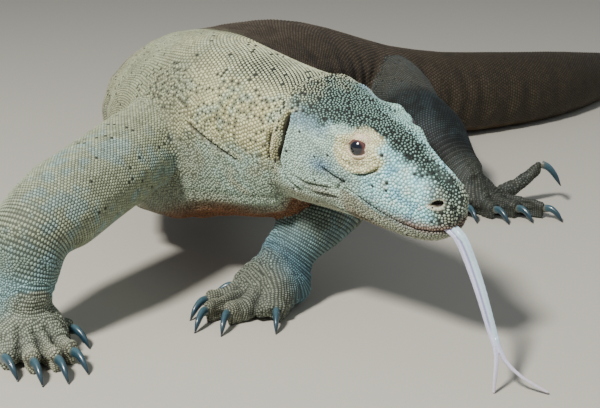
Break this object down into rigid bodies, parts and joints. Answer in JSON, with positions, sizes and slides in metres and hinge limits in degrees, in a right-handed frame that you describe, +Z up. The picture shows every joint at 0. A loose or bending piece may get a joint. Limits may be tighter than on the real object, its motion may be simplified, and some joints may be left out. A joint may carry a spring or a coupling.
{
  "type": "komodo dragon model",
  "caption": "Life-size standing Komodo dragon, a still display model with its body in a long curve, head turned and forked tongue out.",
  "frame": {"origin": "on the floor, under the middle of the whole bounding box", "axes": "+Z up from the floor; +X across the animal to the side that its tail end points to; +Y from the head end towards the tail root"},
  "size_m": [1.4902, 1.4362, 0.261],
  "materials": {
    "hide": "matt, close-set bead scales",
    "dark_hide": "matt, close-set bead scales",
    "claw": "smooth horn, half gloss",
    "eye": "wet gloss",
    "tongue": "moist, half gloss"
  },
  "bodies": {
    "root": {"neck_front": "hide", "neck_rear": "hide", "trunk_front": "hide", "trunk_middle": "hide", "trunk_rear": "hide", "tail_1": "dark_hide", "tail_2": "dark_hide", "tail_3": "dark_hide", "tail_4": "dark_hide", "tail_5": "dark_hide", "tongue": "tongue", "eye_left": "eye", "eye_right": "eye", "head": "hide", "lower_jaw": "hide", "upper_arm_right": "hide", "forearm_right": "hide", "hand_right": "hide", "claw_hand_right_1": "claw", "claw_hand_right_2": "claw", "claw_hand_right_3": "claw", "claw_hand_right_4": "claw", "claw_hand_right_5": "claw", "upper_arm_left": "hide", "forearm_left": "hide", "hand_left": "hide", "claw_hand_left_1": "claw", "claw_hand_left_2": "claw", "claw_hand_left_3": "claw", "claw_hand_left_4": "claw", "claw_hand_left_5": "claw", "thigh_left": "dark_hide", "shank_left": "dark_hide", "foot_left": "dark_hide", "claw_foot_left_1": "claw", "claw_foot_left_2": "claw", "claw_foot_left_3": "claw", "claw_foot_left_4": "claw", "claw_foot_left_5": "claw", "thigh_right": "dark_hide", "shank_right": "dark_hide", "foot_right": "dark_hide", "claw_foot_right_1": "claw", "claw_foot_right_2": "claw", "claw_foot_right_3": "claw", "claw_foot_right_4": "claw", "claw_foot_right_5": "claw"}
  },
  "joints": []
}
